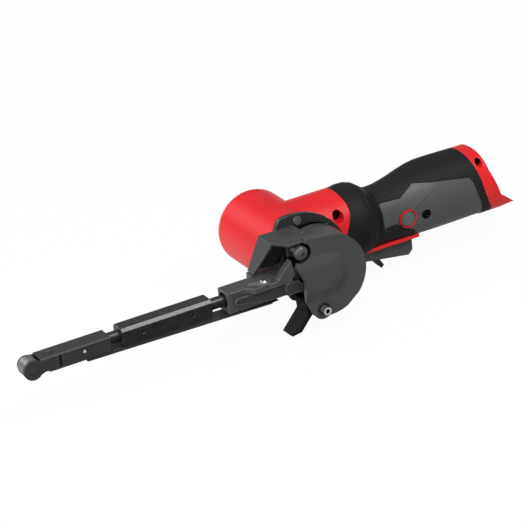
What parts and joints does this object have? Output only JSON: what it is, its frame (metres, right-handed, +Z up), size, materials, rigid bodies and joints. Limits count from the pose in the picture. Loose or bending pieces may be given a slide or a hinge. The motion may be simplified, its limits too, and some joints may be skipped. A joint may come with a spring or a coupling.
{
  "type": "power file",
  "caption": "Cordless band file: red motor across a rubber-covered in-line handle, swivelling belt head with a slim sprung arm and roller, trigger below the grip.",
  "frame": {"origin": "centre of the drive pulley, on the belt's middle plane", "axes": "+X forward along the arm, +Y towards the belt cover's outer face, +Z up"},
  "size_m": [0.3825, 0.108, 0.0759],
  "materials": {
    "red_plastic": "satin",
    "panel_plastic": "satin",
    "grip_rubber": "matte",
    "black_plastic": "matte",
    "button_plastic": "satin",
    "board_green": "satin",
    "cast_alloy": "cast",
    "mount_alloy": "blackened",
    "cover_paint": "satin",
    "plate_paint": "satin",
    "black_steel": "black oxide",
    "bright_steel": "turned",
    "screw_steel": "zinc plated",
    "spring_steel": "drawn",
    "knob_metal": "satin",
    "core_steel": "laminated",
    "copper_wire": "enamelled",
    "bush_bronze": "sintered",
    "pulley_rubber": "matte",
    "roller_alloy": "turned",
    "graphite_pad": "matte"
  },
  "bodies": {
    "tool_body": {"motor_housing": "red_plastic", "motor_end_cap": "red_plastic", "motor_mount": "mount_alloy", "swivel_retainer": "black_steel", "stator": "core_steel", "stator_windings": "copper_wire", "front_bearing": "bright_steel", "rear_bearing": "bright_steel", "handle_shell_left": "panel_plastic", "handle_shell_right": "panel_plastic", "grip_overmould": "grip_rubber", "collar_ring": "grip_rubber", "rear_bezel": "red_plastic", "terminal_block": "black_plastic", "control_board": "board_green", "trigger_switch": "black_plastic", "trigger_trim": "red_plastic", "trigger_pin": "bright_steel", "trigger_spring": "spring_steel", "button_ring": "red_plastic", "housing_screws": "screw_steel", "clamp_screw": "screw_steel"},
    "rotor": {"rotor_core": "core_steel", "motor_shaft": "bright_steel", "cooling_fan": "black_plastic", "drive_pulley": "pulley_rubber", "pulley_screw": "bright_steel"},
    "arm_head": {"back_plate": "plate_paint", "belt_cover": "cover_paint", "cover_screw": "screw_steel", "guard_hood": "cover_paint", "arm_bracket": "cast_alloy", "rod_bush": "bush_bronze", "plate_rivets": "screw_steel", "lever_pin": "bright_steel", "latch_rivet": "screw_steel", "lock_lever_pin": "bright_steel", "tracking_spring": "spring_steel", "tension_spring": "spring_steel"},
    "front_arm": {"arm_rod": "bright_steel", "middle_block": "black_steel", "arm_pins": "black_steel", "platen": "plate_paint", "platen_pad": "graphite_pad", "platen_screws": "screw_steel", "tip_block": "black_steel", "tip_pin": "bright_steel", "tip_fork": "black_steel", "fork_screw": "screw_steel", "roller_axle": "bright_steel"},
    "front_roller": {"tip_roller": "roller_alloy", "roller_bearings": "bright_steel"},
    "knob": {"tracking_knob": "knob_metal"},
    "belt_release": {"release_lever": "black_steel"},
    "latch": {"latch_plate": "cast_alloy"},
    "swivel_lock": {"lock_lever": "black_steel"},
    "paddle": {"trigger": "black_plastic", "lock_off_pin": "bright_steel"},
    "lock_off": {"lock_off_lever": "black_plastic"},
    "button": {"direction_button": "button_plastic"}
  },
  "joints": [
    {"name": "arm_swivel", "type": "hinge", "parent": "tool_body", "child": "arm_head", "pos_m": [0, 0, 0], "axis": [0, 1, 0], "range_deg": [-45, 90]},
    {"name": "arm_slide", "type": "slide", "parent": "arm_head", "child": "front_arm", "axis": [1, 0, 0], "range_m": [-0.008, 0], "stiffness_N_per_m": 1500, "springref_m": 0.006, "deforming": ["tension_spring"]},
    {"name": "roller_spin", "type": "hinge", "parent": "front_arm", "child": "front_roller", "pos_m": [0.19946, 0, -0.0015], "axis": [0, 1, 0], "continuous": true},
    {"name": "motor_spin", "type": "hinge", "parent": "tool_body", "child": "rotor", "pos_m": [0, 0, 0], "axis": [0, 1, 0], "continuous": true},
    {"name": "tracking_turn", "type": "hinge", "parent": "arm_head", "child": "knob", "pos_m": [0.01775, 0, 0.02035], "axis": [0, 1, 0], "range_deg": [-180, 180]},
    {"name": "release_swing", "type": "hinge", "parent": "arm_head", "child": "belt_release", "pos_m": [0.0625, 0, 0.0004], "axis": [0, 1, 0], "range_deg": [-10, 0]},
    {"name": "latch_turn", "type": "hinge", "parent": "arm_head", "child": "latch", "pos_m": [0.0435, 0.008, 0.007], "axis": [0, 0, 1], "range_deg": [-20, 60]},
    {"name": "lock_swing", "type": "hinge", "parent": "arm_head", "child": "swivel_lock", "pos_m": [0.01221, 0, -0.01902], "axis": [0, -1, 0], "range_deg": [0, 40]},
    {"name": "trigger_squeeze", "type": "hinge", "parent": "tool_body", "child": "paddle", "pos_m": [-0.052, -0.0495, -0.014], "axis": [0, 1, 0], "range_deg": [0, 7], "stiffness_Nm_per_rad": 1.2, "springref_deg": -5.73, "deforming": ["trigger_spring"]},
    {"name": "lock_off_swing", "type": "hinge", "parent": "paddle", "child": "lock_off", "pos_m": [-0.066, -0.0495, -0.0245], "axis": [0, 1, 0], "range_deg": [0, 25], "stiffness_Nm_per_rad": 0.05, "springref_deg": -11.46},
    {"name": "button_press", "type": "slide", "parent": "tool_body", "child": "button", "axis": [0, -1, 0], "range_m": [0, 0.0015], "stiffness_N_per_m": 800, "springref_m": -0.002}
  ],
  "couplings": [
    {"joint": "release_swing", "follows": "arm_slide", "rad_per_m": 21.8}
  ]
}
